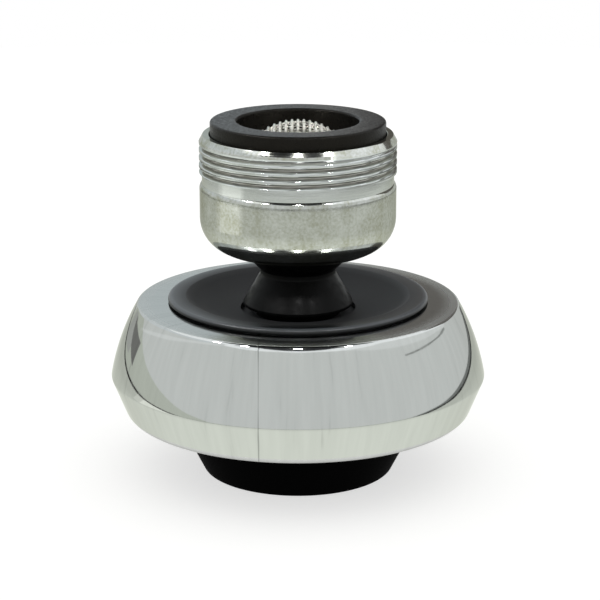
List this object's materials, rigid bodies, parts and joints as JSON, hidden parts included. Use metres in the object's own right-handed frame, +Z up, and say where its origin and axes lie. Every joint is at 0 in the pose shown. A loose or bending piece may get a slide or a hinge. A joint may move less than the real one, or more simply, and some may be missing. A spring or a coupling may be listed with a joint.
{
  "type": "tap aerator",
  "caption": "Swivel tap aerator: a threaded chrome collar on a ball joint carries a domed chrome head that pulls down to change from stream to spray.",
  "frame": {"origin": "centre of the outlet's bottom face, on which the aerator stands", "axes": "+Z up along the common axis, from the outlet towards the tap"},
  "size_m": [0.0458, 0.0458, 0.0436],
  "materials": {
    "chrome_brass": "polished plating on turned brass",
    "chrome_shell": "polished plating on a moulded shell",
    "black_rubber": "matt moulded rubber",
    "black_plastic": "satin moulded plastic",
    "black_acetal": "smooth moulded plastic",
    "white_acetal": "plain moulded plastic",
    "wire_screen": "woven stainless wire",
    "spring_steel": "plain wire"
  },
  "bodies": {
    "collar": {"swivel_collar": "chrome_brass", "inlet_washer": "black_rubber", "inlet_screen": "wire_screen", "ball_clamp": "white_acetal", "ball_seal": "black_rubber"},
    "seat": {"ball_seat": "white_acetal"},
    "stem": {"ball_stem": "black_acetal", "flow_restrictor": "white_acetal", "stem_seal": "black_rubber", "stem_clip": "spring_steel"},
    "stop": {"slip_ring": "white_acetal"},
    "head": {"body_shell": "chrome_shell", "top_dish": "black_plastic", "chamber_seal": "black_rubber", "outlet_foot": "black_plastic", "flow_divider": "white_acetal", "valve_gasket": "black_rubber", "insert_gasket": "black_rubber", "aerator_housing": "white_acetal", "jet_disc": "white_acetal", "upper_screen": "wire_screen", "screen_spacer": "white_acetal", "lower_screen": "wire_screen"}
  },
  "joints": [
    {"name": "swivel", "type": "hinge", "parent": "collar", "child": "seat", "pos_m": [0, 0, 0.03094], "axis": [0, 0, 1], "continuous": true},
    {"name": "tilt", "type": "hinge", "parent": "seat", "child": "stem", "pos_m": [0, 0, 0.03094], "axis": [1, 0, 0], "range_deg": [-18, 18]},
    {"name": "spin", "type": "hinge", "parent": "stem", "child": "stop", "pos_m": [0, 0, 0], "axis": [0, 0, 1], "continuous": true},
    {"name": "slide", "type": "slide", "parent": "stop", "child": "head", "axis": [0, 0, 1], "range_m": [-0.003, 0]}
  ]
}
